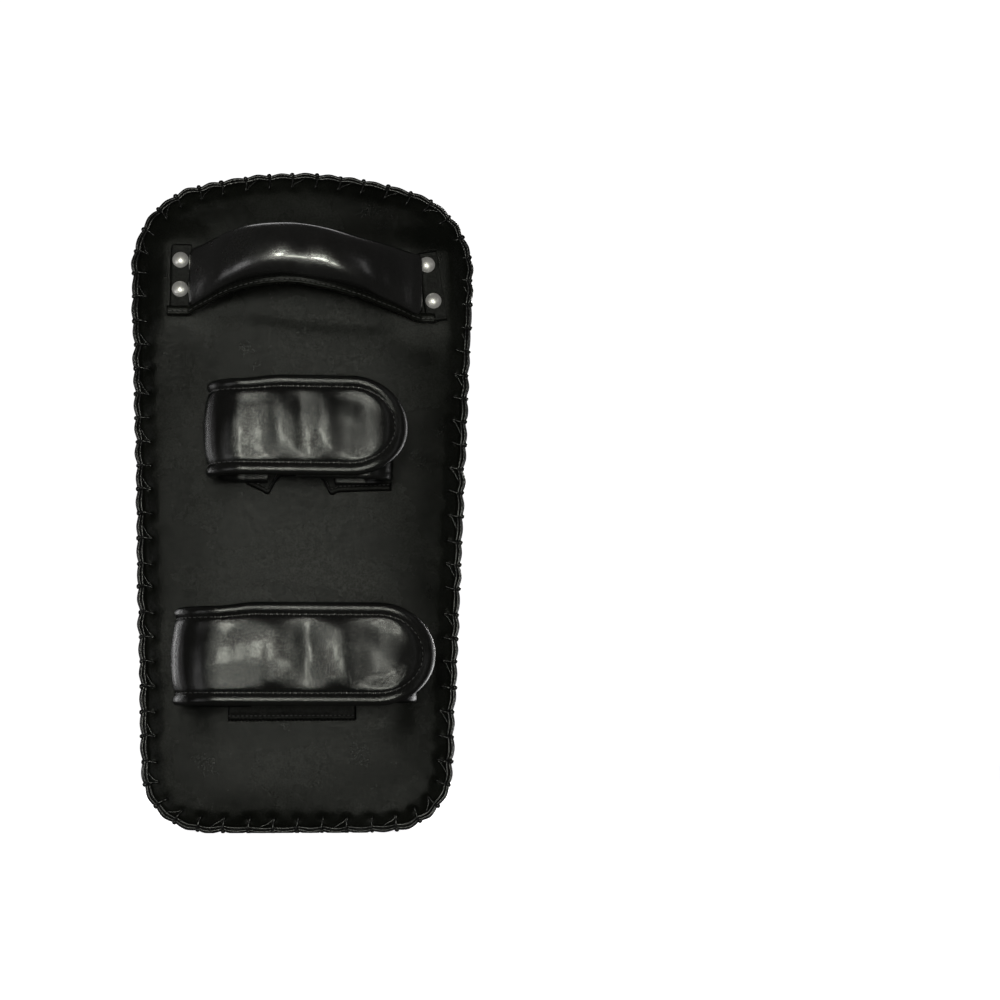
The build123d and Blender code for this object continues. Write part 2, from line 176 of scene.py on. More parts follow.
def ball(centre, axes, around=10, up=6):
    """Ellipsoid with three half-axis vectors."""
    centre, axes = np.asarray(centre, float), np.asarray(axes, float)
    rows = []
    for k in range(1, up):
        lat = math.pi * k / up - math.pi / 2
        for j in range(around):
            lon = 2 * math.pi * j / around
            rows.append(centre + axes.T @ (math.cos(lat) * math.cos(lon), math.cos(lat) * math.sin(lon),
                                           math.sin(lat)))
    points = np.vstack(rows + [centre - axes[2], centre + axes[2]])
    faces = grid_faces(up - 1, around)
    low, high = (up - 1) * around, (up - 1) * around + 1
    for j in range(around):
        faces.append([low, (j + 1) % around, j])
        faces.append([high, (up - 2) * around + j, (up - 2) * around + (j + 1) % around])
    return points, faces


# ================================================================ materials
def shader(name):
    mat = bpy.data.materials.new(name)
    mat.use_nodes = True
    return mat, mat.node_tree.nodes, mat.node_tree.links, mat.node_tree.nodes["Principled BSDF"]


def add_node(nodes, links, kind, ins=None, **props):
    node = nodes.new(kind)
    for key, value in props.items():
        setattr(node, key, value)
    for key, value in (ins or {}).items():
        if isinstance(value, bpy.types.NodeSocket):
            links.new(value, node.inputs[key])
        else:
            node.inputs[key].default_value = value
    return node


def ramp(nodes, links, fac, stops):
    node = add_node(nodes, links, "ShaderNodeValToRGB", {"Fac": fac})
    elements = node.color_ramp.elements
    while len(elements) < len(stops):
        elements.new(0.5)
    for element, (place, colour) in zip(elements, stops):
        element.position = place
        element.color = (*colour, 1) if len(colour) == 3 else colour
    return node.outputs["Color"]


def grey(value):
    return (value, value, value)


def texture(nodes, links, vector, scale, detail, rough=0.5, bend=0.0, output="Fac"):
    """A noise texture."""
    ins = {"Vector": vector, "Scale": scale, "Detail": detail, "Roughness": rough, "Distortion": bend}
    return add_node(nodes, links, "ShaderNodeTexNoise", ins).outputs[output]


def remap(nodes, links, value, low, high, from_low=0.0, from_high=1.0):
    """A value carried from one range to another."""
    ins = {"Value": value, "From Min": from_low, "From Max": from_high, "To Min": low, "To Max": high}
    return add_node(nodes, links, "ShaderNodeMapRange", ins).outputs[0]


def product(nodes, links, a, b):
    return add_node(nodes, links, "ShaderNodeMath", {0: a, 1: b}, operation="MULTIPLY").outputs[0]


def bump(nodes, links, height, distance, strength, **under):
    """A bumped normal; Normal=... lays it on top of another one."""
    ins = {"Height": height, "Distance": distance, "Strength": strength, **under}
    return add_node(nodes, links, "ShaderNodeBump", ins).outputs[0]


BLOTCH_SCALE, PATCH_SCALE, PORE_SCALE, WARP_SCALE = 22.0, 34.0, 900.0, 160.0      # features per metre
CREASE_HIGH, GRAIN_HIGH = 0.0002, 0.00003                                        # bump heights, in metres


def leather(name, dark, light, rough, grain=1.0, grain_size=0.9, crease=0.5, crease_size=14.0,
            stretch=(1, 1, 1), shine=0.5, coat=0.0):
    """Black finished leather: pebble grain, fine pores, creases, blotches in colour and gloss."""
    mat, nodes, links, bsdf = shader(name)
    kit = (nodes, links)
    coord = nodes.new("ShaderNodeTexCoord").outputs["Object"]
    mapped = add_node(*kit, "ShaderNodeMapping", {"Vector": coord, "Scale": stretch}).outputs["Vector"]
    blotch = texture(*kit, coord, BLOTCH_SCALE, 5.0, 0.6)
    pores = texture(*kit, coord, PORE_SCALE, 3.0, 0.55)
    warp = texture(*kit, mapped, WARP_SCALE, 2.0, output="Color")
    warped = add_node(*kit, "ShaderNodeVectorMath", {0: warp, 1: warp, 2: mapped},
                      operation="MULTIPLY_ADD").outputs[0]      # pushed about by the noise's square
    cells = add_node(*kit, "ShaderNodeTexVoronoi", {"Vector": warped, "Scale": 1000.0 / grain_size},
                     feature="DISTANCE_TO_EDGE").outputs["Distance"]
    pebble = ramp(*kit, cells, [(0.0, grey(0)), (0.16, grey(0.75)), (0.5, grey(1))])
    folds = texture(*kit, mapped, 1000.0 / crease_size, 6.0, 0.62, 1.4)
    ridge = ramp(*kit, folds, [(0.44, grey(1)), (0.5, grey(0)), (0.56, grey(1))])
    where = ramp(*kit, texture(*kit, coord, PATCH_SCALE, 2.0), [(0.42, grey(0)), (0.62, grey(1))])
    normal = bump(*kit, ridge, CREASE_HIGH, product(*kit, where, crease))
    normal = bump(*kit, pebble, GRAIN_HIGH * grain, 0.55, Normal=normal)
    normal = bump(*kit, pores, GRAIN_HIGH * grain, 0.5, Normal=normal)
    links.new(normal, bsdf.inputs["Normal"])
    links.new(ramp(*kit, blotch, [(0.3, dark), (0.7, light)]), bsdf.inputs["Base Color"])
    links.new(remap(*kit, blotch, rough - 0.05, rough + 0.07, 0.3, 0.7), bsdf.inputs["Roughness"])
    speck = remap(*kit, pores, shine * 0.62, shine * 1.38, 0.36, 0.64)
    patch = remap(*kit, blotch, 0.87, 1.13, 0.36, 0.64)
    links.new(product(*kit, speck, patch), bsdf.inputs["Specular IOR Level"])
    bsdf.inputs["Coat Weight"].default_value = coat
    bsdf.inputs["Coat Roughness"].default_value = 0.15
    return mat


BLACK = (0.004, 0.0044, 0.0036), (0.008, 0.0087, 0.0071)           # the back panel's, darkest and lightest
case_leather = leather("case_leather", (0.004, 0.0042, 0.0036), (0.008, 0.0083, 0.007), 0.36,
                       crease=0.2, shine=0.34)
back_leather = leather("back_leather", *BLACK, 0.265, grain=0.9, crease=0.1, shine=0.14)
# a darker, less glossy copy of the back panel's leather: its darker colour is painted shade, the shade the
# straps cast on the strips under their legs; the handle tabs are drawn in it too
painted_shade_leather = leather("painted_shade_leather", (0.003, 0.0032, 0.0028), (0.006, 0.0062, 0.0056), 0.38,
                       crease=0.1, shine=0.13)
STRAP_BLACK = (0.005, 0.005, 0.0048), (0.009, 0.009, 0.0085)
strap_leather = leather("strap_leather", *STRAP_BLACK, 0.18, grain=0.9, crease=0.03,
                        crease_size=8.0, stretch=(1, 1, 1.6), shine=0.55, coat=0.15)
grip_leather = leather("grip_leather", *STRAP_BLACK, 0.23, grain=0.6, crease=0.1, shine=1.0, coat=1.0)


def cord_material(name, colour, rough, twist):
    """Twisted cord: fine diagonal strands, uneven in colour and gloss."""
    mat, nodes, links, bsdf = shader(name)
    kit = (nodes, links)
    coord = nodes.new("ShaderNodeTexCoord").outputs["Object"]
    ins = {"Vector": coord, "Scale": twist, "Distortion": 3.0, "Detail": 1.0}
    wave = add_node(*kit, "ShaderNodeTexWave", ins, bands_direction="DIAGONAL").outputs["Fac"]
    links.new(bump(*kit, wave, 0.0001, 0.5), bsdf.inputs["Normal"])
    shade = texture(*kit, coord, 220.0, 3.0)
    colours = ramp(*kit, shade, [(0.3, grey(colour * 0.6)), (0.7, grey(colour * 1.5))])
    links.new(colours, bsdf.inputs["Base Color"])
    links.new(remap(*kit, shade, rough - 0.06, rough + 0.1), bsdf.inputs["Roughness"])
    return mat


lace = cord_material("lace", 0.008, 0.22, 260.0)
thread = cord_material("thread", 0.05, 0.45, 900.0)


def tape_material():
    """The fuzz of hook and loop."""
    mat, nodes, links, bsdf = shader("hook_and_loop")
    kit = (nodes, links)
    coord = nodes.new("ShaderNodeTexCoord").outputs["Object"]
    fuzz = add_node(*kit, "ShaderNodeTexVoronoi", {"Vector": coord, "Scale": 1100.0}).outputs["Distance"]
    links.new(bump(*kit, fuzz, 0.0005, 0.8), bsdf.inputs["Normal"])
    links.new(ramp(*kit, fuzz, [(0.1, grey(0.03)), (0.6, grey(0.008))]), bsdf.inputs["Base Color"])
    bsdf.inputs["Roughness"].default_value = 0.85
    bsdf.inputs["Sheen Weight"].default_value = 0.4
    return mat


hook_and_loop = tape_material()


def nickel_material():
    """Scuffed nickel; a faint glow stands in for the pale room it would reflect."""
    mat, nodes, links, bsdf = shader("nickel")
    kit = (nodes, links)
    coord = nodes.new("ShaderNodeTexCoord").outputs["Object"]
    marks = texture(*kit, coord, 500.0, 6.0, 0.7)
    colours = ramp(*kit, marks, [(0.3, (0.66, 0.64, 0.60)), (0.6, (0.86, 0.85, 0.82))])
    links.new(colours, bsdf.inputs["Base Color"])
    links.new(remap(*kit, marks, 0.30, 0.48), bsdf.inputs["Roughness"])
    links.new(bump(*kit, marks, 0.00003, 0.4), bsdf.inputs["Normal"])
    bsdf.inputs["Metallic"].default_value = 0.95
    bsdf.inputs["Emission Color"].default_value = (0.85, 0.83, 0.78, 1)
    bsdf.inputs["Emission Strength"].default_value = 0.12
    return mat


nickel = nickel_material()


# ================================================================ sizes taken from the frame
_, gusset_high = span("side_gusset")
_, panel_high = span("back_panel")
face_low, face_high = span("strike_panel")
BACK_Y = panel_high[1]
SEAM_Y = face_high[1]
CASE_H = gusset_high[2]
SEAM_INSET = gusset_high[0] - face_high[0]
LEATHER = 1.6                 # how thick the case's leather is drawn

# ================================================================ the case: outline and pillow surfaces
AROUND = 900                  # points round the case, twelve to a lacing hole
HOLES = 75


def case_outline():
    """Points and outward normals of the case's fullest outline, from the gusset's own mesh."""
    mesh = frame["nodes"]["side_gusset"].data
    flat = sorted({(round(v.co.x / MM, 3), round(v.co.z / MM, 3)) for v in mesh.vertices})

    def half(points):
        chain = []
        for p in points:
            while len(chain) > 1 and ((chain[-1][0] - chain[-2][0]) * (p[1] - chain[-2][1])
                                      - (chain[-1][1] - chain[-2][1]) * (p[0] - chain[-2][0])) <= 0:
                chain.pop()
            chain.append(p)
        return chain[:-1]

    loop = np.array(half(flat) + half(flat[::-1]))
    start = np.argmin(np.where(loop[:, 0] > 0, np.hypot(loop[:, 0], loop[:, 1]), 1e9))
    loop = np.vstack([[0, 0], np.roll(loop, -start, axis=0), [0, 0]])
    length = np.concatenate([[0], np.cumsum(np.hypot(*np.diff(loop, axis=0).T))])
    at = np.linspace(0, length[-1], AROUND, endpoint=False)
    ring = np.stack([np.interp(at, length, loop[:, 0]), np.interp(at, length, loop[:, 1])], 1)
    for _ in range(6):
        ring = (np.roll(ring, 1, 0) + 2 * ring + np.roll(ring, -1, 0)) / 4
    along = np.roll(ring, -1, 0) - np.roll(ring, 1, 0)
    along /= np.linalg.norm(along, axis=1)[:, None]
    return ring, np.stack([along[:, 1], -along[:, 0]], 1)


RING, OUT = case_outline()
SPINE_LOW, SPINE_HIGH = 96, 300                # the pillow surfaces run in to this upright line
SPINE = np.stack([np.zeros(AROUND), np.clip(RING[:, 1], SPINE_LOW, SPINE_HIGH)], 1)
# 1 at a lacing hole, 0 half way between two
HOLE_WAVE = 0.5 + 0.5 * np.cos(2 * math.pi * np.arange(AROUND) * HOLES / AROUND)
FACE_RINGS = [0, 0.7, 1.5, 2.5, 3.6, 5, 6.5, 8, 10, 12, 14, 16.5, 19, 22, 25, 28, 32, 36]
BACK_RINGS = [0, 0.6, 1.3, 2.1, 3, 4, 5, 6, 6.8, 7.6, 8.4, 9.4, 10.6, 12, 14, 16.5, 19, 22, 25, 28, 32, 36]


def pillow(start_inset, rings, inner=14):
    """Rings from an inset outline in to the spine: (rows, AROUND, 2) places and distances from the edge."""
    edge = RING - OUT * start_inset
    reach = np.linalg.norm(edge - SPINE, axis=1)
    places, depths = [], []
    for d in list(rings) + [None] * inner:
        if d is not None:
            t = d / reach
        else:
            step = (len(places) - len(rings) + 1) / inner
            t = rings[-1] / reach + (1 - rings[-1] / reach) * step
        inward = (SPINE - edge) * t[:, None]
        # near the edge, go straight in; further on, towards the spine
        straight = -OUT * (t * reach)[:, None]
        mix = smooth(t * reach, 2, 30)[:, None]
        places.append(edge + straight * (1 - mix) + inward * mix)
        depths.append(t * reach)
    return np.array(places), np.array(depths), reach


def from_edge(places, inset):
    """Each place's distance from the inset outline, rounded off where two sides are near."""
    edge, flat = RING[::2] - OUT[::2] * inset, places.reshape(-1, 2)
    step = np.linalg.norm(np.roll(edge, -1, 0) - edge, axis=1)
    far = [(step / (np.sum((part[:, None] - edge[None])**2, axis=2) + 4)**3).sum(1)
           for part in np.array_split(flat, 16)]
    return ((np.concatenate(far) / 1.178)**-0.2).reshape(places.shape[:2])


def surface(name, places, height, material, nodes, body="pad"):
    """A pillow surface: places in X-Z, height as the Y coordinate."""
    rows = len(places)
    points = np.stack([places[..., 0], height, places[..., 1]], -1).reshape(-1, 3)
    return make(name, points, grid_faces(rows, AROUND), material, body, nodes)


# strike face
SHOULDER, SHOULDER_SPARE = 27.0, 4.5           # its edge curves over this width, to this far from full depth
DOME = 5.5                    # and the face swells by this much more to its spine
ROLL_OVER = 1.6               # the leather rolls out over the seam
places, depth, reach = pillow(SEAM_INSET + 0.9, FACE_RINGS)
flat = places.reshape(-1, 2)
flat3 = np.column_stack([flat[:, 0], np.zeros(len(flat)), flat[:, 1]])
turn = np.clip(depth / SHOULDER, 0, 1)
crown = (face_high[1] - face_low[1] - SHOULDER_SPARE) * (1 - (1 - turn)**2.3)**(1 / 2.1)
dome = DOME * (1 - (1 - np.clip(depth / reach, 0, 1))**2)
swell = wobble(flat3, 85, 1).reshape(depth.shape) * 1.3 + wobble(flat3, 30, 2).reshape(depth.shape) * 0.35
pucker = wobble(flat3, 9, 3).reshape(depth.shape) * 0.35 * (1 - smooth(depth, 1, 16))
face_y = SEAM_Y - crown - dome - swell * smooth(depth, 2, 30) - pucker * smooth(depth, 0, 2)
bulge = ROLL_OVER * np.sin(math.pi * np.clip(depth / 9, 0, 1))
places = places + OUT * bulge[..., None]
face = surface("strike_face", places, face_y, case_leather, ["strike_panel", "foam_face_layer"])
solidify(face, LEATHER)

# gusset
LACED_DROP = 8.0              # the laced edge lies this far in front of the back panel's middle
EDGE_INSET = 1.0              # and this far inside the outline
edge_y = BACK_Y - LACED_DROP
gusset_steps = np.concatenate([[0, 0.4, 1.0, 1.8, 2.6, 3.4, 4.6, 6, 8, 11], np.linspace(15, 58, 18),
                               np.array([16, 13.5, 11.5, 9.8, 8.4, 7.2, 6.2, 5.2, 4, 2.8, 1.6, 0.7, 0]) * -1
                               + (edge_y - SEAM_Y)])
gusset_steps = np.unique(np.round(gusset_steps, 3))
rows = []
to_back = (edge_y - SEAM_Y) - gusset_steps
for y, back in zip(gusset_steps, to_back):
    base = np.interp(y, [0, 16, 58, edge_y - SEAM_Y], [SEAM_INSET + 1.2, 0.6, 0.6, EDGE_INSET])
    groove = -0.9 * math.exp(-((y - 2.9) / 0.9)**2) - 0.9 * math.exp(-((y + 0.2) / 0.8)**2)
    flat3 = np.column_stack([RING[:, 0], np.full(AROUND, y), RING[:, 1]])
    side = np.abs(OUT[:, 0])
    ripple = wobble(flat3 * (1, 0.45, 1), 26, 4) * 0.8 * math.sin(math.pi * min(1, y / 60))
    ripple += wobble(flat3, 70, 5) * 0.8
    pulled = HOLE_WAVE**2 * (1.3 * math.exp(-(back / 7.5)**2) + 0.8 * math.exp(-((back - 7.2) / 2.0)**2))
    pulled += 0.5 * math.exp(-(back / 12)**2) * wobble(flat3 * (1, 0.3, 1), 8, 6)
    belly = 1.0 * math.sin(math.pi * y / (edge_y - SEAM_Y)) * side
    out = -base + groove + belly + (ripple - 0.5) * smooth(y, 2, 14) * smooth(back, 0, 10) - pulled
    at = RING + OUT * out[:, None]
    at[:, 1] = np.maximum(at[:, 1], 0.05)
    rows.append(np.column_stack([at[:, 0], np.full(AROUND, SEAM_Y + y), at[:, 1]]))
gusset_rows = np.array(rows)
gusset = make("side_gusset_leather", gusset_rows.reshape(-1, 3), grid_faces(len(rows), AROUND), case_leather,
              "pad", ["side_gusset", "foam_core"])
solidify(gusset, LEATHER)

# back panel
EDGE_ROLL, EDGE_WIDE = 2.5, 13                 # it rolls down to the lacing by this much, over this width
PANEL_CROWN, CROWN_WIDE = 5.5, 72              # and is crowned by this much, over this width
DRAWN_IN, DRAWN_REACH = 0.35, 18               # under a tab or strip it comes up to here, fading over this
CREASES = ((0.77, 1.2), (0.50, 1.3), (0.37, 0.8))              # soft folds across: share of height, depth
places, depth, _ = pillow(EDGE_INSET, BACK_RINGS)
flat = places.reshape(-1, 2)
flat3 = np.column_stack([flat[:, 0], np.zeros(len(flat)), flat[:, 1]])
wide = from_edge(places, EDGE_INSET)
roll = EDGE_ROLL * (1 - np.clip(depth / EDGE_WIDE, 0, 1))**2
roll += PANEL_CROWN * (1 - np.clip(wide / CROWN_WIDE, 0, 1))**2.2
dents = HOLE_WAVE**3 * 1.0 * np.exp(-((depth - 7.4) / 2.1)**2) + HOLE_WAVE * 0.4 * np.exp(-(depth / 6)**2)
slack = wobble(flat3 * (0.45, 1, 1), 38, 11).reshape(depth.shape) * 0.9
slack += wobble(flat3, 80, 12).reshape(depth.shape) * 1.0
for level, deep in CREASES:
    line = CASE_H * level + 3 * np.sin(flat[:, 0] / 23).reshape(depth.shape)
    where = (places[..., 1] - line) / 5.0
    slack -= deep * np.exp(-where**2) * np.exp(-(places[..., 0] / 45)**2)
radial = wobble(flat3, 7, 13).reshape(depth.shape) * 0.35 * np.exp(-(depth / 12)**2)
back_y = BACK_Y - roll - dents - 0.9 + slack * 0.55 * smooth(depth, 6, 30) + radial
for node in ("handle_tab_left", "handle_tab_right", "upper_base_strip", "lower_base_strip"):
    low, high = span(node)          # the leather is drawn up tight under what is riveted or sewn to it
    off = np.hypot(np.maximum(np.abs(places[..., 0] - (low[0] + high[0]) / 2) - (high[0] - low[0]) / 2, 0),
                   np.maximum(np.abs(places[..., 1] - (low[2] + high[2]) / 2) - (high[2] - low[2]) / 2, 0))
    back_y += (BACK_Y - DRAWN_IN - back_y) * (1 - smooth(off, 0, DRAWN_REACH)) * 0.75
places[..., 1] = np.maximum(places[..., 1], 0.1)
back = surface("back_panel_leather", places, back_y, back_leather,
               ["back_panel", "foam_back_layer", "backing_board"])
solidify(back, LEATHER)

# ================================================================ front seam: topstitches and rolled ridge
SEAM_STITCHES = 262
STITCH_ROW = 3.0              # the topstitch lies this far behind the seam
stitches = Bag()
for k in range(SEAM_STITCHES):
    i = int(round(k * AROUND / SEAM_STITCHES)) % AROUND
    out, along = OUT[i], np.array([-OUT[i][1], OUT[i][0]])
    row = gusset_rows[:, i]
    here = row[np.argmin(np.abs(row[:, 1] - SEAM_Y - STITCH_ROW))]
    side = np.array([along[0], 0, along[1]])
    away = np.array([out[0], 0, out[1]])
    slant = side + np.array([0, 0.10, 0])
    stitches.add(ball(here + away * 0.15, [slant * 1.55, (0, 0.48, 0), away * 0.42], 8, 5))
stitches.make("seam_topstitch", thread, "thread", "pad", ["seam_thread"])

ridge_path = gusset_rows[0] + np.column_stack([OUT[:, 0], np.zeros(AROUND), OUT[:, 1]]) * 0.5
ridge_path = ridge_path + (0, -0.5, 0)
ridge_path[:, 2] = np.maximum(ridge_path[:, 2], 1.2)
RIDGE_SIDES = 10
angles = np.arange(RIDGE_SIDES) * math.tau / RIDGE_SIDES
ridge = []
for i in range(0, AROUND, 2):
    away = np.array([OUT[i][0], 0, OUT[i][1]])
    size = 1.05 + 0.12 * math.sin(i * 0.9) + 0.1 * math.sin(i * 0.37)
    ring = np.cos(angles)[:, None] * away + np.sin(angles)[:, None] * (0, 1.25, 0)
    ridge.append(ridge_path[i] + size * ring)
make("seam_ridge", np.vstack(ridge), grid_faces(AROUND // 2, len(angles), wrap_rows=True), case_leather,
     "pad")

# ================================================================ lacing
cords = Bag()
edge_row = gusset_rows[-1]


def around_edge(i):
    """A point on the laced edge, with its outward and along directions; i may be fractional."""
    low = int(math.floor(i))
    part = i - low
    out = OUT[low % AROUND] * (1 - part) + OUT[(low + 1) % AROUND] * part
    at = edge_row[low % AROUND] * (1 - part) + edge_row[(low + 1) % AROUND] * part
    return at, np.array([out[0], 0, out[1]]), np.array([-out[1], 0, out[0]])


PER_HOLE = AROUND / HOLES
REAR = np.array([0, 1.0, 0])
# one loop's course: outwards, rearwards, and as a share of its lean along the edge
LOOP = [(-7.4, 0.7, -0.5), (-6.2, 2.5, -0.4), (-3.6, 2.3, 0), (-0.6, 2.2, 0.3), (1.7, 0.6, 0.4),
        (1.5, -3.2, 0.2), (0.9, -6.4, -0.1), (-1.2, -7.4, -0.1)]
LANES = [(-1.9, 1.75), (0.0, 1.05), (0.75, -0.9)]               # the running cords, outwards and rearwards
LOOP_R, RUN_R, SLANT_R = 0.7, 0.82, 0.5
for h in range(HOLES):
    base = h * PER_HOLE
    jitter = RNG.uniform(-1, 1, 12)
    at, out, along = around_edge(base + jitter[0] * 0.6)
    # the loop: out of the back panel's hole, over the edge, into the gusset's hole
    lean = along * (1.6 + 0.5 * jitter[1])
    loop = [at + out * o + REAR * r + lean * a for o, r, a in LOOP]
    cords.add(tube(curve_through(loop, 4), LOOP_R, 7))
    # the knot where the loop grips the running cords
    knot = at + out * (1.5 + 0.3 * jitter[2]) + REAR * (0.9 + 0.4 * jitter[3])
    cords.add(ball(knot, [along * (1.5 + 0.2 * jitter[4]), (out + REAR) * 0.9, (out - REAR) * 1.1], 9, 6))
    # running cords to the next knot
    for lane, (o, r) in enumerate(LANES):
        bow = 0.30 + 0.2 * jitter[5 + lane]
        points = []
        for t in (0, 0.2, 0.5, 0.8, 1.0):
            p, n, _ = around_edge(base + t * PER_HOLE)
            swell = math.sin(math.pi * t)
            pinch = 0.75 + 0.25 * swell
            points.append(p + n * (o * pinch + 0.2 + bow * swell * (0.6 if lane else 0.2))
                          + REAR * (r * pinch + 0.3 + bow * swell * 0.3))
        cords.add(tube(curve_through(points, 3), RUN_R + 0.06 * jitter[8 + lane], 8))
    # a short strand that slants from the hole to the next knot
    if h % 2:
        q, n, _ = around_edge(base + PER_HOLE * 0.55)
        slant = [at - out * 6.6 + REAR * 2.2, at - out * 4.4 + REAR * 2.1 + along * 1.6,
                 q - n * 2.0 + REAR * 1.9]
        cords.add(tube(curve_through(slant, 4), SLANT_R, 6))
cords.make("edge_lacing", lace, "lace", "pad", ["lace_loops", "lace_strands"])

# ================================================================ straps
# rows of points at these distances from a band's edge, and profiles as distance and height
EDGE_D = [0, .3, .7, 1.2, 2, 3, 4, 5, 6, 6.7, 7.2, 7.7, 8.4, 9.4, 10.8, 12.5, 15, 18, 22]
BOUND = ([0, .3, .7, 1.2, 2, 3, 4, 5, 6, 6.7, 7.2, 7.7, 8.4, 9.4, 10.8, 12.5, 15, 18, 22, 26, 30],
         [.3, 1.4, 2.1, 2.7, 3.25, 3.5, 3.45, 3.15, 2.6, 2.1, 1.9, 2.1, 2.6, 3.0, 3.4, 3.75, 4.15, 4.55, 4.95,
          5.2, 5.25])
PLAIN = ([0, .3, .7, 1.2, 2, 3, 4.4, 5, 5.6, 7, 10, 15, 30],
         [.2, 1.0, 1.5, 1.85, 2.1, 2.2, 2.15, 1.95, 2.15, 2.3, 2.4, 2.5, 2.5])
TONGUE_UNDER = ([0, .3, .7, 1.2, 2, 3, 30], [.2, 1.2, 1.8, 2.3, 2.7, 2.9, 2.95])
FLAP_UNDER = ([0, .3, .7, 1.2, 30], [.2, 1.0, 1.5, 2.1, 2.2])
TAB = ([0, .3, .7, 1.2, 2.0, 2.6, 3.2, 30], [.2, .9, 1.3, 1.55, 1.5, 1.15, 1.3, 1.35])
TAB_UNDER = ([0, .3, .7, 1.2, 30], [.2, 1.0, 1.3, 1.5, 1.5])
GROOVE_IN, GROOVE_LIFT = 7.2, 2.1              # the binding's stitch groove: from the edge, and its height
SQUEEZE = 0.085               # how much a tongue's upper edge drops before its fold
ACROSS, ALONG, TIP_STEPS = 26, 110, 70         # points across a band, along it and round its tip
END_R = 4.0                   # corner radius of a square end


class Band:
    """A strap's path in X-Y, its middle surface, from its sewn end to its tip."""

    def __init__(self, pieces, mid_z=1e6, fold=-1e6):
        self.mid_z, self.fold = mid_z, fold           # the upper edge drops a little before the fold
        points, normals = [], []
        for kind, *data in pieces:
            if kind == "line":
                (x0, y0), (x1, y1), normal = data
                steps = max(2, int(math.hypot(x1 - x0, y1 - y0)))
                for t in np.linspace(0, 1, steps, endpoint=False):
                    points.append((x0 + (x1 - x0) * t, y0 + (y1 - y0) * t))
                    normals.append(normal)
            else:
                (cx, cy), radius, start, size = data
                for t in np.linspace(0, 1, max(8, int(abs(size) / 4)), endpoint=False):
                    a = math.radians(start + size * t)
                    points.append((cx + radius * math.cos(a), cy + radius * math.sin(a)))
                    normals.append((math.cos(a), math.sin(a)))
        self.points, self.normals = np.array(points), np.array(normals)
        self.length = np.concatenate([[0], np.cumsum(np.hypot(*np.diff(self.points, axis=0).T))])
        self.total = self.length[-1]

    def turn_at(self, x_start, reach):
        """How far along the band its X is this far past x_start, near its end."""
        half = len(self.points) // 2
        return np.interp(x_start - np.asarray(reach), self.points[half:][::-1, 0], self.length[half:][::-1])

    def across(self, s):
        """The X of the band this far along."""
        return np.interp(s, self.length, self.points[:, 0])

    def place(self, s, z, e):
        """The point this far along, at height z, this far outside the middle surface."""
        z = z - SQUEEZE * np.maximum(z - self.mid_z, 0) * (1 - smooth(s, self.fold - 4, self.fold + 22))
        x, y = (np.interp(s, self.length, self.points[:, k]) for k in (0, 1))
        nx, ny = (np.interp(s, self.length, self.normals[:, k]) for k in (0, 1))
        size = np.hypot(nx, ny)
        return np.stack([x + nx / size * e, y + ny / size * e, z], -1)


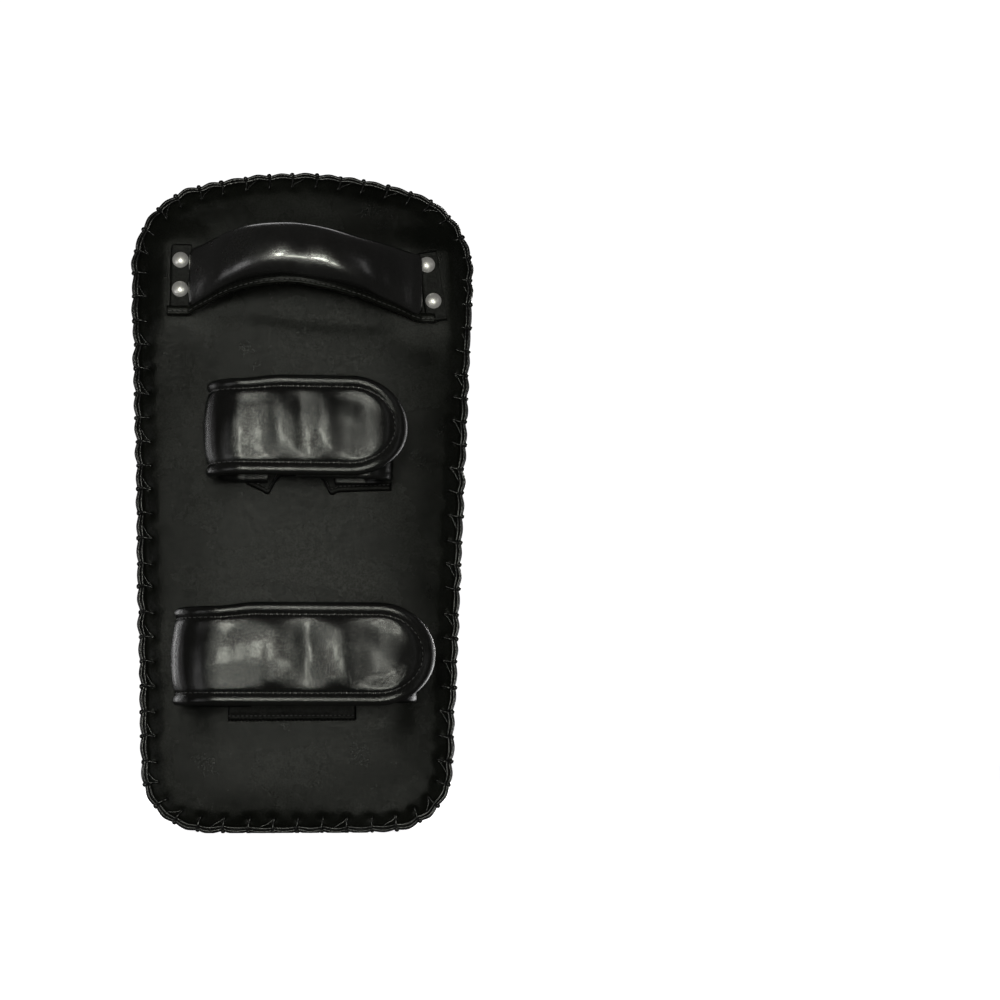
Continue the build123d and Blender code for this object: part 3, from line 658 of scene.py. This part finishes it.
def padded_band(name, band, z_mid, half, tip, outer, inner, material, nodes, seed, waves=()):
    """A closed padded band, shaped from its edges in by two profiles. Without a tip its end is square."""
    total = band.total
    if tip:
        sweep = np.radians(np.linspace(-90, 90, TIP_STEPS)[1:-1])
        tip_x = band.points[-1, 0] + tip
        end = list(zip(band.turn_at(tip_x, tip * np.cos(sweep)), half * np.sin(sweep)))
        tip_run = total - band.turn_at(tip_x, 0.0)
        straight = np.linspace(0, total - tip_run, ALONG)
    else:
        r = END_R
        end = [(total - r + r * math.cos(math.radians(a)), sign * (half - r) + r * math.sin(math.radians(a)))
               for sign, arc in ((-1, np.linspace(-90, 0, 7)), (1, np.linspace(0, 90, 7))) for a in arc]
        middle = [(total, v) for v in np.linspace(-half + r, half - r, ACROSS)[1:-1]]
        end = end[:7] + middle + end[7:]
        straight = np.linspace(0, total - r, ALONG)
    ring = [(s, -half) for s in straight] + end + [(s, half) for s in straight[::-1]]
    ring += [(0, v) for v in np.linspace(half, -half, ACROSS)[1:-1]]
    ring = np.array(ring)
    first, last = min(16, total / 2), max(total / 2, total - (tip_run if tip else 16))
    spine = np.column_stack([np.clip(ring[:, 0], first, last), np.zeros(len(ring))])
    reach = np.linalg.norm(ring - spine, axis=1)
    edge = [d for d in EDGE_D if d < half * 0.75]
    shares = [np.minimum(d / reach, 0.9 * d / edge[-1]) for d in edge]
    shares += [shares[-1] + (1 - shares[-1]) * step for step in np.linspace(0, 1, 7)[1:]]
    rows = np.array([ring + (spine - ring) * t[:, None] for t in shares])
    # the real distance to the nearer long edge or tip
    gap = half - np.abs(rows[..., 1])
    if tip:
        ds = np.clip(tip_x - band.across(rows[..., 0]), 0, None) / tip * (rows[..., 0] > total / 2)
        size = np.hypot(ds, rows[..., 1] / half)
        gap = np.where(ds > 0, (1 - size) * half, gap)
    else:
        gap = np.minimum(gap, total - rows[..., 0])
    gap = np.maximum(gap, 0)
    s, z = rows[..., 0], rows[..., 1]
    probe = np.stack([s, z, np.zeros_like(s)], -1).reshape(-1, 3)
    soft = wobble(probe * (1, 0.45, 1), 19, seed).reshape(s.shape) * 0.4
    soft = soft + wobble(probe, 8, seed + 1).reshape(s.shape) * 0.1
    soft = soft + wobble(probe * (1, 0.3, 1), 5.5, seed + 3).reshape(s.shape) * 0.06
    for place, width, high in waves:
        soft = soft + high * np.exp(-((s - place + z * 0.12) / width)**2)
    middle = smooth(gap, 7.5, 16)
    outer = curve_through(np.column_stack(outer), 8)
    top = np.interp(gap, *outer.T) + soft * middle
    top = top + 0.12 * wobble(probe * (1, 0, 1), 13, seed + 2).reshape(s.shape)
    under = -np.interp(gap, *inner)
    upper = band.place(s, z_mid + z, top).reshape(-1, 3)
    lower = band.place(s, z_mid + z, under).reshape(-1, 3)
    n = len(ring)
    count = len(rows) * n
    faces = grid_faces(len(rows), n) + [f[::-1] for f in grid_faces(len(rows), n, start=count)]
    for j in range(n):
        k = (j + 1) % n
        faces.append([j, k, count + k, count + j])
    return make(name, np.vstack([upper, lower]), faces, material, None, nodes)


def groove_stitches(name, band, z_mid, half, tip, from_s, pitch=3.2):
    """A row of small stitches in the groove that follows the edge of a band."""
    inset, lift = GROOVE_IN, GROOVE_LIFT
    h = half - inset
    tip_x = band.points[-1, 0] + tip
    tip_s = band.turn_at(tip_x, 0.0)
    run = [(s, -h) for s in np.arange(from_s, tip_s, 0.8)]
    sweep = np.linspace(-math.pi / 2, math.pi / 2, 90)
    scale = 1 - inset / half
    run += list(zip(band.turn_at(tip_x, tip * scale * np.cos(sweep)), h * np.sin(sweep)))
    run += [(s, h) for s in np.arange(tip_s, from_s, -0.8)]
    run = np.array(run)
    length = np.concatenate([[0], np.cumsum(np.hypot(*np.diff(run, axis=0).T))])
    bag = Bag()
    for at in np.arange(pitch, length[-1], pitch):
        a, b = ([np.interp(at + o, length, run[:, k]) for k in (0, 1)] for o in (-1.0, 1.0))
        pa, pb = band.place(a[0], z_mid + a[1], lift), band.place(b[0], z_mid + b[1], lift)
        mid, along = (pa + pb) / 2, (pb - pa) / 2
        up = band.place(a[0], z_mid + a[1], lift + 1) - pa
        side = np.cross(along / np.linalg.norm(along), up)
        bag.add(ball(mid, [along * 1.1, side * 0.34, up * 0.3], 7, 4))
    return bag.make(name, thread, "thread", None)


def fold_blend(piece):
    """Bakes the piece's placement into its mesh."""
    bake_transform(piece)


TIP = 33.0                    # length of a tongue's rounded end, seen from behind
TONGUE_MID, FLAP_MID = 3.0, 2.3                # half the leather stack: middle surface to outer face
# ridges across a tongue: distance from its fold, width and height
RIDGES = {"upper": ((3, 14, -1.3), (20, 6.5, 0.8), (34, 5, -0.8), (48, 5.5, 0.8), (70, 13, -1.9)),
          "lower": ((0, 14, -1.2), (30, 8, 1.0), (50, 6, -1.0), (67, 7, 0.9), (98, 17, -2.3))}
FLAP_IN = {"upper": 4.0, "lower": 6.0}         # the flap lies a little inside the tongue's end,
FLAP_DROP = {"upper": 3.4, "lower": 1.6}       # a little lower,
FLAP_MORE = {"upper": 1.8, "lower": 0.4}       # and is a little higher in all
# the leather under the legs: its ends in X, how tall its pinked teeth are and how it hangs along X
BASE_ENDS = {"upper": (-54, 33), "lower": (-34, 42)}
BASE_TEETH = {"upper": 0.0, "lower": 1.1}
BASE_BOTTOM = {"upper": 0.2, "lower": -2.2}
BASE_HANG = {"upper": ([-54, -40, -22, -19, -17, -13, -10, 12, 15, 19, 21, 24, 33],
                       [3, 2.5, 1.6, 0, 0.4, 8, 11, 11, 8, 0.4, 0, 2, 6]),
             "lower": ([-34, 42], [0.6, 0.0])}
TOOTH = 2.1                   # pitch of the teeth

for s_index, name in enumerate(("upper", "lower")):
    leg_low, leg_high = span(f"{name}_tongue_leg")
    _, skin_high = span(f"{name}_tongue_skin")
    bind_low, _ = span(f"{name}_tongue_binding")
    fleg_low, fleg_high = span(f"{name}_flap_leg")
    _, flap_high = span(f"{name}_flap_skin")
    strip_low, strip_high = span(f"{name}_base_strip")
    z_mid, half = (leg_low[2] + leg_high[2]) / 2, (leg_high[2] - leg_low[2]) / 2
    left_r = leg_high[1] - leg_low[1]
    xl, yl = leg_high[0] - left_r, leg_high[1]
    right_r = fleg_high[1] - fleg_low[1]
    xr, yr = fleg_low[0] + right_r, fleg_high[1]
    wrap_r = skin_high[1] - yr
    wrap = math.degrees(math.asin(min(1, (xr - bind_low[0]) / (wrap_r + 0.4))))
    mid = TONGUE_MID
    to_top = (xl - leg_low[0]) + math.pi * (left_r - mid)
    tongue_band = Band([
        ("line", (leg_low[0], leg_low[1] + mid), (xl, leg_low[1] + mid), (0, -1)),
        ("arc", (xl, yl), left_r - mid, -90, 180),
        ("line", (xl, skin_high[1] - mid), (xr, skin_high[1] - mid), (0, 1)),
        ("arc", (xr, yr), wrap_r - mid, 90, wrap)], z_mid, to_top)
    waves = [(to_top + at, width, high) for at, width, high in RIDGES[name]]
    tongue = padded_band(f"{name}_strap_tongue", tongue_band, z_mid, half, TIP, BOUND, TONGUE_UNDER,
                         strap_leather,
                         [f"{name}_tongue_leg", f"{name}_tongue_skin", f"{name}_tongue_padding",
                          f"{name}_tongue_lining", f"{name}_tongue_binding"], 20 + 10 * s_index, waves)
    fold_blend(tongue)
    stitch = groove_stitches(f"{name}_strap_stitching", tongue_band, z_mid, half, TIP, 8)
    fold_blend(stitch)

    mid = FLAP_MID
    xf = xr + FLAP_IN[name]
    flap_band = Band([
        ("line", (fleg_high[0], fleg_low[1] + mid), (xf, fleg_low[1] + mid), (0, -1)),
        ("arc", (xf, yr), right_r - mid, -90, -180),
        ("line", (xf, flap_high[1] - mid), (flap_high[0], flap_high[1] - mid), (0, 1))])
    flap = padded_band(f"{name}_strap_flap", flap_band, z_mid - FLAP_DROP[name],
                       (fleg_high[2] - fleg_low[2]) / 2 + FLAP_MORE[name], None, PLAIN, FLAP_UNDER,
                       strap_leather, [f"{name}_flap_leg", f"{name}_flap_skin", f"{name}_flap_padding"],
                       60 + 10 * s_index)
    fold_blend(flap)

    # two flared ends on the upper strap, a pinked strip on the lower
    strip_top = strip_high[2]
    wide, drop = BASE_ENDS[name], BASE_HANG[name]
    bottom = strip_low[2] + BASE_BOTTOM[name]
    xs = np.arange(wide[0], wide[1] + 0.01, TOOTH / 4)
    tooth = np.abs(((xs / TOOTH) % 1.0) - 0.5) * 2 * BASE_TEETH[name] + np.interp(xs, *drop)
    levels = np.array([0, 0.25, 0.6, 1.2, 2.0, 3.0, 3.6, 4.2, 5.4, 8, 14, 24, strip_top - bottom])
    rise = np.array([0.25, 0.9, 1.4, 1.75, 1.95, 1.75, 1.5, 1.75, 1.95, 2.0, 2.0, 2.0, 1.9])
    sheet_rows = []
    for level, lift in zip(levels, rise):
        z = bottom + level + tooth * (1 - smooth(level, 4, 24))
        y = BACK_Y + lift - 0.25 + 0.35 * wobble(np.column_stack([xs, xs * 0, z]), 11, 90 + s_index)
        ends = smooth(xs, wide[0], wide[0] + 1.2) * (1 - smooth(xs, wide[1] - 1.2, wide[1]))
        sheet_rows.append(np.column_stack([xs, np.maximum(y - (1 - ends) * 1.5, BACK_Y - 1.0), z]))
    back_rows = [row * (1, 0, 1) + (0, BACK_Y - 1.6, 0) for row in sheet_rows[::-1]]
    loop = np.array(sheet_rows + back_rows)
    r, c = loop.shape[:2]
    faces = grid_faces(r, c, wrap_rows=True, wrap_cols=False)
    faces += [[k * c for k in range(r)], [k * c + c - 1 for k in range(r)][::-1]]
    # the strip is drawn in the darker leather, whose colour is painted shade from the strap over it
    make(f"{name}_strap_base", loop.reshape(-1, 3), faces, painted_shade_leather, "pad",
         [f"{name}_base_strip"], merge=False)
    seam = Bag()
    for x in np.arange(wide[0] + 2, wide[1] - 1, 2.6):
        z = bottom + 3.6 + np.interp(x, *drop)
        slope = (np.interp(x + 0.9, *drop) - np.interp(x - 0.9, *drop)) / 1.8
        seam.add(ball((x, BACK_Y + 1.55, z), [(0.95, 0, 0.95 * slope), (0, 0.3, 0), (0, 0, 0.32)], 7, 4))
    seam.make(f"{name}_strap_base_seam", thread, "thread", "pad")

# ================================================================ handle
# the grip along X: its upper and lower edges from the swing's axis, its middle from the back, its half depth
GRIP_X = [-71.5, -66, -58, -48, -33, -13, 8, 30, 46, 57, 65, 68.6]
GRIP_TOP = [13.2, 13.6, 14.6, 15.8, 17.6, 21.8, 24.2, 23.4, 20.2, 16.6, 14.4, 13.4]
GRIP_BOTTOM = [-27.6, -26.8, -25.0, -22.8, -18.9, -14.8, -12.0, -13.8, -17.6, -21.6, -24.2, -25.8]
GRIP_MID_Y = [6.4, 8.8, 14.6, 21.0, 28.0, 33.2, 33.8, 30.5, 23.6, 15.4, 8.8, 6.4]
GRIP_DEEP = [3.8, 6.0, 9.6, 11.8, 13.0, 13.4, 13.6, 13.2, 12.0, 9.6, 6.0, 4.0]
FLANGE = 3.4                  # the flange hangs this far below the padded grip
GRIP_SIDES, GRIP_STEPS = 56, 170
GRIP_BENDS = ((-3, 12, 3.0), (-47, 5, 0.7), (45, 6, 0.6))       # saddles across it: place, width and depth

swing = [j for j in frame["joints"] if j["name"] == "handle_swing"][0]["pos_m"]
SWING_Z = swing[2] / MM


def along_grip(x, table):
    """A table's value at x, on a smooth curve through its points."""
    fine = curve_through(np.column_stack([GRIP_X, table]), 8)
    return np.interp(x, fine[:, 0], fine[:, 1])


grip_x = np.linspace(GRIP_X[0], GRIP_X[-1], GRIP_STEPS)
grip_angles = np.arange(GRIP_SIDES) * math.tau / GRIP_SIDES
rows = []
for x in grip_x:
    top, low = SWING_Z + along_grip(x, GRIP_TOP), SWING_Z + along_grip(x, GRIP_BOTTOM) + FLANGE
    mid_z, high = (top + low) / 2, (top - low) / 2
    deep, mid_y = along_grip(x, GRIP_DEEP), along_grip(x, GRIP_MID_Y) + BACK_Y
    c, s = np.cos(grip_angles), np.sin(grip_angles)
    power = 2 / 2.25
    y = np.sign(c) * np.abs(c)**power * deep
    z = np.sign(s) * np.abs(s)**power * high
    y *= 1 - 0.2 * smooth(s, -0.5, 1.0)
    rim = 1 - 0.14 * math.exp(-((x - GRIP_X[0]) / 1.2)**2) - 0.14 * math.exp(-((x - GRIP_X[-1]) / 1.2)**2)
    flat = np.column_stack([np.full(GRIP_SIDES, x), mid_y + y, mid_z + z])
    dent = 0.22 * wobble(flat * (1, 0.3, 0.3), 26, 31)
    bends = sum(-deep * math.exp(-((x - at) / width)**2) for at, width, deep in GRIP_BENDS)
    front = smooth(c, 0.1, 0.9)
    scale = 1 + (dent + bends * front * 0.8) / np.hypot(y, z)
    rows.append(np.column_stack([flat[:, 0], mid_y + y * scale * rim, mid_z + z * scale * rim]))
grip_rows = np.array(rows)
n, m = grip_rows.shape[:2]
ends = [grip_rows[0].mean(0) - (0.3, 0, 0), grip_rows[-1].mean(0) + (0.3, 0, 0)]
faces = grid_faces(n, m)
for k in range(m):
    faces.append([n * m, (k + 1) % m, k])
    faces.append([n * m + 1, (n - 1) * m + k, (n - 1) * m + (k + 1) % m])
grip = make("handle_grip", np.vstack([grip_rows.reshape(-1, 3), ends]), faces, grip_leather,
            None, ["handle_sleeve", "handle_foam_roll", "handle_webbing"])
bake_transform(grip)

# the stitched flange along the grip's lower edge
FLANGE_STEPS = 160
flange_x = np.linspace(GRIP_X[0] - 8, GRIP_X[-1] + 13, FLANGE_STEPS)
section = [(-1.3, 5.5), (-1.55, 2.0), (-1.5, 0.6), (-0.9, 0.0), (0.9, 0.0), (1.5, 0.6), (1.6, 1.4),
           (1.25, 2.1), (1.5, 2.8), (1.4, 5.5)]      # depth and height; the stitches lie in its notch
rows, flange_line = [], []
for x in flange_x:
    low = SWING_Z + along_grip(x, GRIP_BOTTOM) - 0.5 * smooth(abs(x), 60, 72)
    y = along_grip(x, GRIP_MID_Y) + BACK_Y + 0.5
    y = max(BACK_Y + 1.8, y - 2.0 * smooth(abs(x), 50, 70))
    lift = 0.25 * math.sin(x * 0.9) + 0.2 * math.sin(x * 0.31)
    rows.append([(x, y + dy, low + dz + lift * 0.3) for dy, dz in section])
    flange_line.append((x, y + 1.3, low + 2.1 + lift * 0.3))
rows = np.array(rows)
n, m = rows.shape[:2]
faces = grid_faces(n, m) + [list(range(m)), [(n - 1) * m + k for k in range(m)][::-1]]
flange = make("handle_flange_edge", rows.reshape(-1, 3), faces, back_leather, None,
              ["handle_flange"], merge=False)
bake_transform(flange)
bag = Bag()
for k in range(1, FLANGE_STEPS - 1, 3):
    a, b = np.array(flange_line[k - 1]), np.array(flange_line[k + 1])
    side = (b - a) / 2 * 1.3
    bag.add(ball((a + b) / 2, [side, (0, 0.28, 0), (0, 0, 0.35)], 7, 4))
flange_seam = bag.make("handle_flange_seam", thread, "thread", None)
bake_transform(flange_seam)

# the two riveted tabs
TAB_HALF_X, TAB_HALF_Z = 6.8, 21.8
TAB_LEAN = {"left": 0.0, "right": math.radians(-9.5)}
for side, lean in TAB_LEAN.items():
    low, high = span(f"handle_tab_{side}")
    mid = (low + high) / 2
    y = BACK_Y + 1.6
    strip = Band([("line", (mid[0] - TAB_HALF_X, y), (mid[0] + TAB_HALF_X, y), (0, 1))])
    # the tabs share the strips' darker leather, whose darker colour is painted shade
    tab = padded_band(f"handle_tab_leather_{side}", strip, mid[2], TAB_HALF_Z, None, TAB, TAB_UNDER,
                      painted_shade_leather, [f"handle_tab_{side}"], 44)
    if lean:
        centre = Matrix.Translation(Vector(mid) * MM)
        tab.data.transform(centre @ Matrix.Rotation(-lean, 4, "Y") @ centre.inverted())
    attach(tab, "pad")

# ================================================================ CAD nodes that stay, with their own finish
KEPT = {"rivet_caps": nickel, "rivet_posts": nickel, "rivet_burrs": nickel}
for name in ("upper", "lower"):
    KEPT[f"{name}_leg_stitches"] = thread
    KEPT[f"{name}_hook_patch"] = hook_and_loop
    KEPT[f"{name}_loop_patch"] = hook_and_loop
for node, material in KEPT.items():
    piece = frame["nodes"][node]
    piece.data.materials.clear()
    piece.data.materials.append(material)

# ================================================================ floor, backdrop, light and camera
def plain(name, colour, strength):
    """A flat pale surface with its own even light."""
    mat, _, _, bsdf = shader(name)
    bsdf.inputs["Base Color"].default_value = (*colour, 1)
    bsdf.inputs["Roughness"].default_value = 0.9
    bsdf.inputs["Specular IOR Level"].default_value = 0.1
    bsdf.inputs["Emission Color"].default_value = (*colour, 1)
    bsdf.inputs["Emission Strength"].default_value = strength
    return mat


bpy.ops.mesh.primitive_circle_add(vertices=128, radius=7, fill_type="NGON", location=(0, 0, 0))
floor = bpy.context.object
floor.name = "floor"
floor.data.materials.append(plain("floor", grey(0.9), 1.08))
bpy.ops.mesh.primitive_uv_sphere_add(segments=96, ring_count=48, radius=6.8, location=(0, 0, 0))
dome = bpy.context.object
dome.name = "backdrop"
dome.data.materials.append(plain("backdrop", grey(0.95), 1.06))
for stage in (floor, dome):
    stage.visible_glossy = False
    stage.visible_diffuse = False
floor.visible_shadow = dome.visible_shadow = False

world = bpy.data.worlds.new("studio")
bpy.context.scene.world = world
world.use_nodes = True
world.node_tree.nodes["Background"].inputs["Color"].default_value = (1.0, 0.98, 0.95, 1)
world.node_tree.nodes["Background"].inputs["Strength"].default_value = 0.04


def soft_light(name, place, size, power, colour=(1, 1, 1)):
    """A rectangular lamp that looks at the pad's middle."""
    data = bpy.data.lights.new(name, "AREA")
    data.shape, data.size, data.size_y = "RECTANGLE", size[0], size[1]
    data.energy, data.color = power, colour
    lamp = bpy.data.objects.new(name, data)
    bpy.context.scene.collection.objects.link(lamp)
    lamp.location = place
    lamp.rotation_euler = (Vector(MIDDLE) - Vector(place)).to_track_quat("-Z", "Y").to_euler()
    lamp.visible_camera = False


MIDDLE = (0, 0, 0.2)
COOL, WARM = (0.98, 1, 0.89), (1, 0.985, 0.96)
soft_light("rear_key", (0.21, 1.75, 0.24), (0.26, 0.34), 7.6, COOL)
soft_light("rear_high", (0.08, 1.75, 0.66), (0.2, 0.3), 0.9, COOL)
soft_light("rear_foot", (-0.26, 1.75, -0.02), (0.3, 0.25), 4.0, COOL)
soft_light("rear_side", (-1.55, 1.25, 0.7), (0.3, 0.9), 0.5)
soft_light("rear_low", (1.2, 1.1, -0.25), (0.7, 0.6), 1.8)
soft_light("front_key", (-0.6, -1.8, 0.75), (0.6, 1.0), 22, WARM)
soft_light("front_low", (-1.1, -1.2, -0.25), (0.8, 0.7), 4.5)
soft_light("side_left", (-1.5, -1.3, 0.35), (0.3, 1.1), 3.4)
soft_light("gusset_left", (-2.1, -0.8, -0.1), (0.25, 1.2), 1.5)
soft_light("side_right", (1.5, -1.3, 0.35), (0.3, 1.1), 4.5)
soft_light("gusset_right", (2.1, -0.8, -0.1), (0.25, 1.2), 2.2)
soft_light("top", (0, -1.1, 1.7), (0.9, 0.5), 1.8)

# the camera stands low behind the pad; the pad fills the left half of its picture
LENS, CAMERA_FAR, CAMERA_HIGH = 75.3, 1.25, 0.048
YAW, PITCH = math.radians(5.467), math.radians(6.85)
camera_data = bpy.data.cameras.new("camera")
camera = bpy.data.objects.new("camera", camera_data)
bpy.context.scene.collection.objects.link(camera)
bpy.context.scene.camera = camera
camera_data.lens, camera_data.sensor_width = LENS, 36.0
camera_data.dof.use_dof = False
camera.location = (0, BACK_Y * MM + CAMERA_FAR, CAMERA_HIGH)
look = Vector((-math.sin(YAW) * math.cos(PITCH), -math.cos(YAW) * math.cos(PITCH), math.sin(PITCH)))
camera.rotation_euler = look.to_track_quat("-Z", "Y").to_euler()

bpy.context.scene.view_settings.view_transform = "Standard"
bpy.context.scene.view_settings.look = "None"

bpy.context.view_layer.update()
